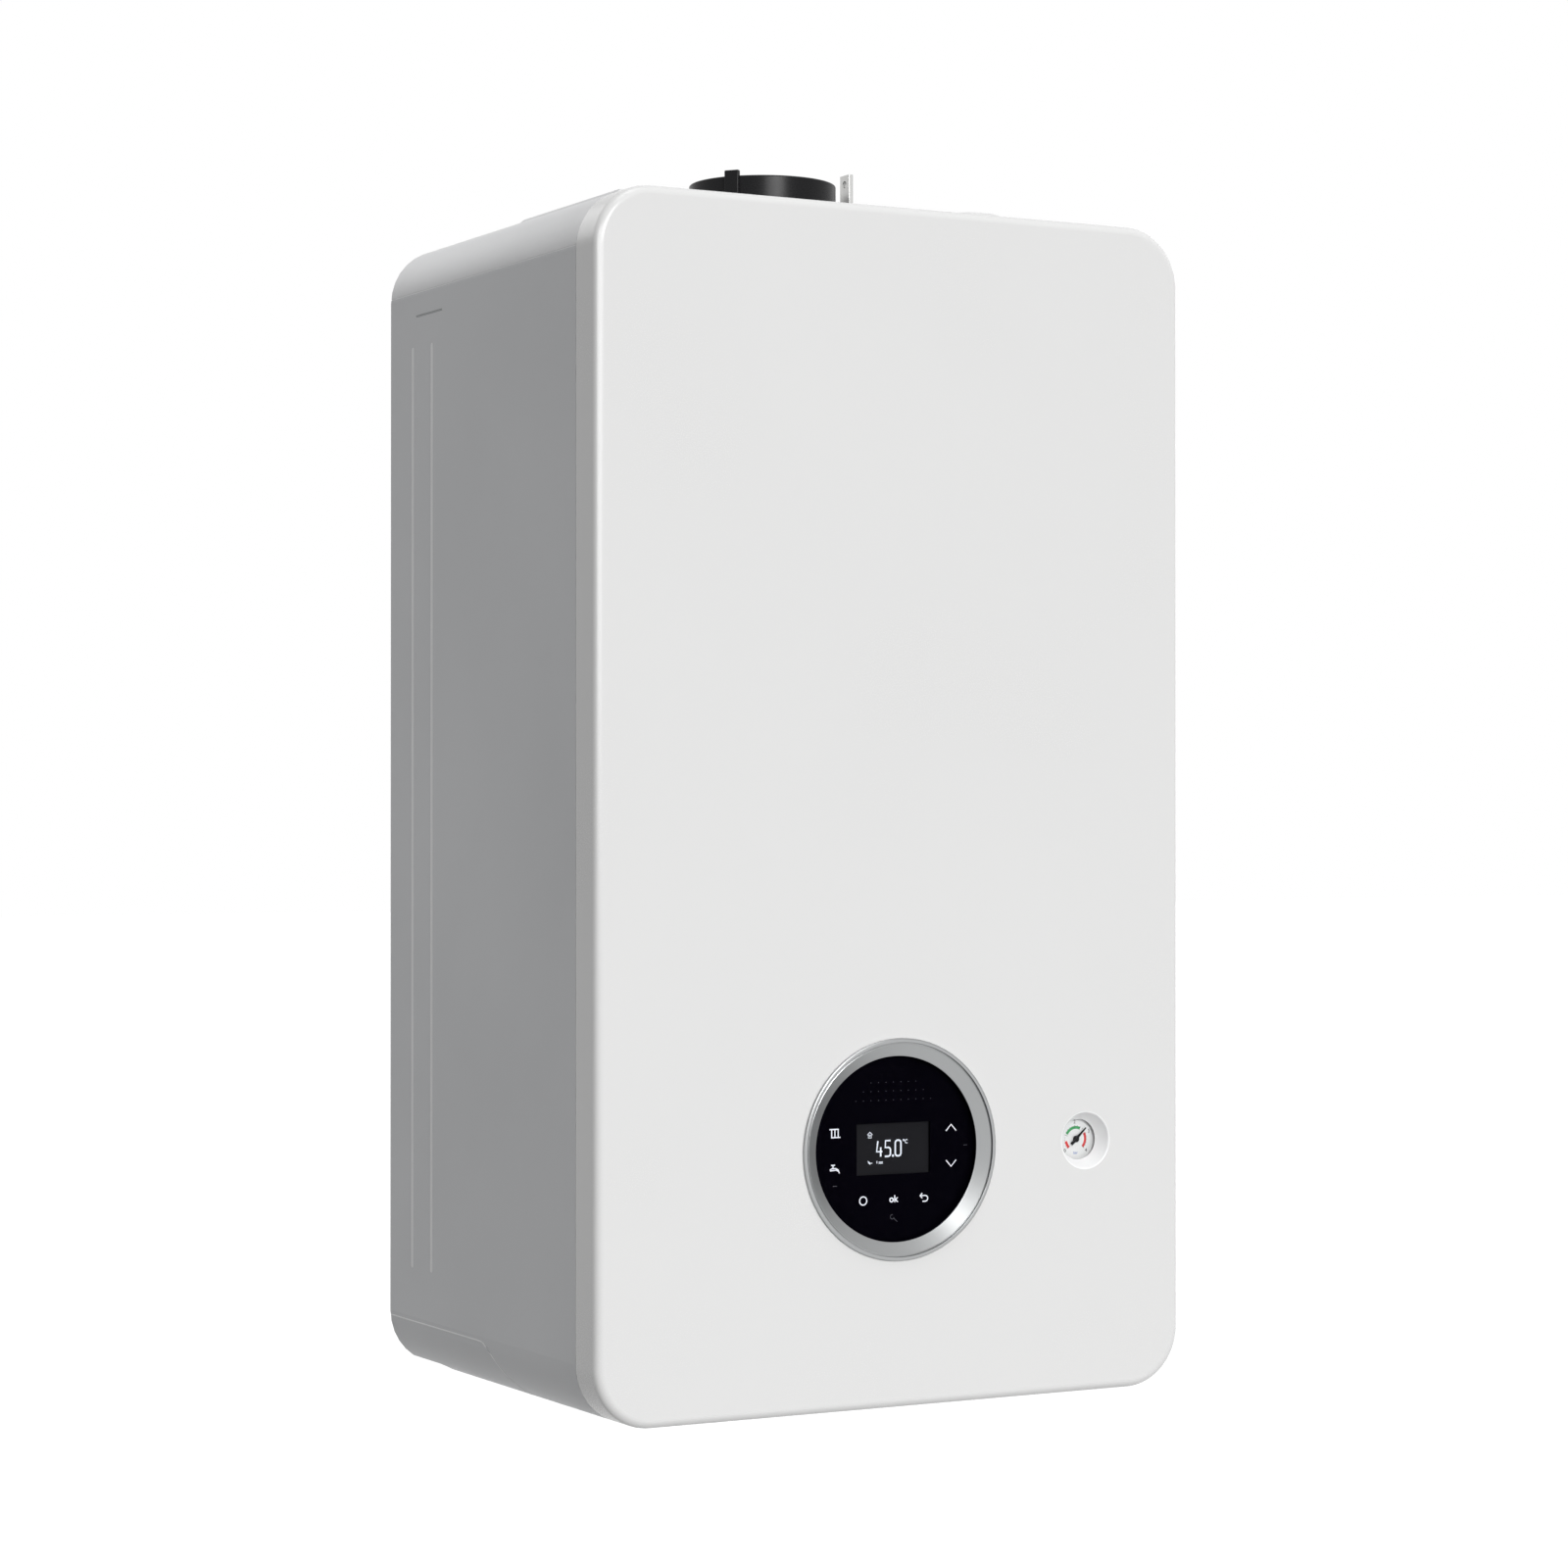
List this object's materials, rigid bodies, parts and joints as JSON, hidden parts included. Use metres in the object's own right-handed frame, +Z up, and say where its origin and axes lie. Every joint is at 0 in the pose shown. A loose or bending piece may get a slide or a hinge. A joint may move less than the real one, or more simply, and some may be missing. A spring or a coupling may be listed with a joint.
{
  "type": "condensing boiler",
  "caption": "Wall-hung condensing boiler in a rounded white case with a ringed round display, pressure gauge and black flue collar; full burner and water side inside.",
  "frame": {"origin": "centre of the wall bracket's back face, on the wall", "axes": "+X to the right seen from the front, +Y into the wall, +Z up"},
  "size_m": [0.4, 0.3018, 0.76],
  "materials": {
    "white_paint": "smooth white enamel",
    "white_plastic": "smooth white plastic",
    "grey_paint": "satin grey enamel",
    "galvanised_steel": "galvanised sheet",
    "satin_metal": "satin plated",
    "black_glass": "polished black",
    "black_plastic": "satin black",
    "dark_plastic": "fine grain",
    "grey_plastic": "smooth grey",
    "clear_plastic": "clear",
    "lcd_grey": "display panel",
    "board_green": "lacquered board",
    "stainless_steel": "brushed",
    "cast_aluminium": "as cast",
    "cast_iron": "painted dark",
    "brass": "machined",
    "copper": "drawn tube",
    "rubber": "matt hose",
    "ceramic": "glazed insulator",
    "red_paint": "satin red enamel",
    "red_plastic": "moulded",
    "blue_plastic": "moulded"
  },
  "bodies": {
    "case": {"rear_panel": "galvanised_steel", "wall_bracket": "galvanised_steel", "left_side_panel": "grey_paint", "right_side_panel": "grey_paint", "top_cover": "white_plastic", "left_corner_trim": "grey_paint", "right_corner_trim": "grey_paint", "bottom_plate": "galvanised_steel", "exchanger_shelf": "galvanised_steel", "control_hinge_rod": "stainless_steel", "gauge_body": "white_plastic", "gauge_dial": "white_plastic", "gauge_lens": "clear_plastic", "gauge_bracket": "galvanised_steel", "gauge_capillary": "copper", "flue_collar": "black_plastic", "flue_duct": "stainless_steel", "air_port_plug": "white_plastic", "flue_lug": "stainless_steel", "heat_exchanger": "stainless_steel", "exchanger_coil": "stainless_steel", "burner_door": "cast_aluminium", "burner_tube": "stainless_steel", "ignition_electrode": "ceramic", "fan_housing": "cast_aluminium", "fan_motor": "black_plastic", "mixing_duct": "cast_aluminium", "gas_valve": "cast_aluminium", "gas_pipe": "stainless_steel", "expansion_vessel": "red_paint", "vessel_hose": "rubber", "pump_body": "cast_iron", "pump_motor": "cast_iron", "diverter_valve": "brass", "diverter_actuator": "black_plastic", "plate_exchanger": "stainless_steel", "relief_valve": "brass", "air_vent": "brass", "condensate_trap": "grey_plastic", "condensate_hose": "rubber", "flow_pipe": "copper", "return_pipe": "copper", "hot_water_pipe": "copper", "cold_water_pipe": "copper", "cable_gland": "black_plastic", "boiler_flow_pipe": "copper", "boiler_return_pipe": "copper"},
    "cover": {"front_cover": "white_paint", "display_ring": "satin_metal"},
    "control_unit": {"control_box": "dark_plastic", "control_box_lid": "dark_plastic", "circuit_board": "board_green", "display_housing": "black_plastic", "display_glass": "black_glass", "lcd_module": "lcd_grey"},
    "needle": {"gauge_needle": "black_plastic"},
    "fan_wheel": {"fan_impeller": "dark_plastic"},
    "pump_wheel": {"pump_impeller": "dark_plastic"},
    "relief_cap": {"relief_knob": "red_plastic"},
    "filling_tap": {"filling_knob": "blue_plastic"}
  },
  "joints": [
    {"name": "cover_slide", "type": "slide", "parent": "case", "child": "cover", "axis": [0, -1, 0], "range_m": [0, 0.42]},
    {"name": "control_hinge", "type": "hinge", "parent": "case", "child": "control_unit", "pos_m": [0, -0.2755, -0.572], "axis": [1, 0, 0], "range_deg": [0, 90]},
    {"name": "needle_turn", "type": "hinge", "parent": "case", "child": "needle", "pos_m": [0.131, -0.2899, -0.502], "axis": [0, 1, 0], "range_deg": [-179, 87]},
    {"name": "fan_turn", "type": "hinge", "parent": "case", "child": "fan_wheel", "pos_m": [0.105, -0.23, -0.325], "axis": [0, 1, 0], "continuous": true},
    {"name": "pump_turn", "type": "hinge", "parent": "case", "child": "pump_wheel", "pos_m": [0.125, -0.1, -0.505], "axis": [0, 1, 0], "continuous": true},
    {"name": "relief_turn", "type": "hinge", "parent": "case", "child": "relief_cap", "pos_m": [0.0325, -0.1493, -0.515], "axis": [0, 1, 0], "range_deg": [0, 90]},
    {"name": "filling_turn", "type": "hinge", "parent": "case", "child": "filling_tap", "pos_m": [0.0975, -0.095, -0.619], "axis": [0, 0, 1], "range_deg": [0, 90]}
  ],
  "couplings": [
    {"joint": "control_hinge", "follows": "cover_slide", "rad_per_m": 3.739}
  ]
}
